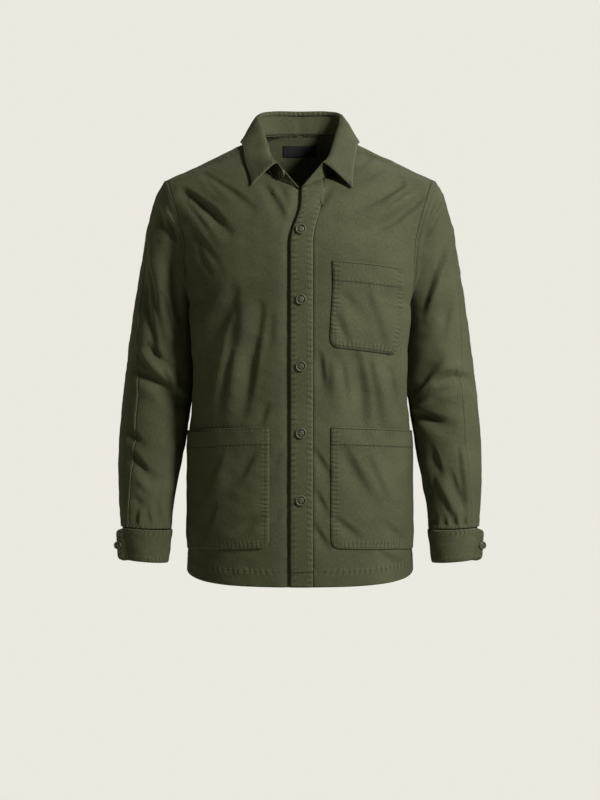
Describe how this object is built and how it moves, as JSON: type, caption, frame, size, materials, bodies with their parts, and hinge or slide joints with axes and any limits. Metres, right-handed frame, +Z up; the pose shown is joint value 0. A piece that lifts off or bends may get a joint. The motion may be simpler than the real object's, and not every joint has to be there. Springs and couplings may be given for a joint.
{
  "type": "overshirt",
  "caption": "Men's long-sleeved overshirt in olive cotton twill with a turned-down collar, buttoned placket, patch pockets and buttoned cuffs, filled out as worn.",
  "frame": {"origin": "midway between the two shoulder points, where the garment rests on a wearer or a hanger", "axes": "+Z up along the body, -Y out of the front, +X towards the wearer's left, so the row is seen from -Y"},
  "size_m": [0.6142, 0.2808, 0.8061],
  "materials": {
    "twill": "washed cotton twill, matt",
    "button": "satin",
    "label": "plain woven, matt"
  },
  "bodies": {
    "root": {"front_right": "twill", "front_left": "twill", "placket_left": "twill", "back": "twill", "collar_stand": "twill", "collar_leaf": "twill", "sleeve_right_fore": "twill", "sleeve_right_hind": "twill", "sleeve_left_fore": "twill", "sleeve_left_hind": "twill", "cuff_right": "twill", "cuff_left": "twill", "pocket_chest": "twill", "pocket_right": "twill", "pocket_left": "twill", "button_front_1": "button", "button_front_2": "button", "button_front_3": "button", "button_front_4": "button", "button_front_5": "button", "button_stand": "button", "button_cuff_right": "button", "button_cuff_left": "button", "neck_label": "label"}
  },
  "joints": []
}
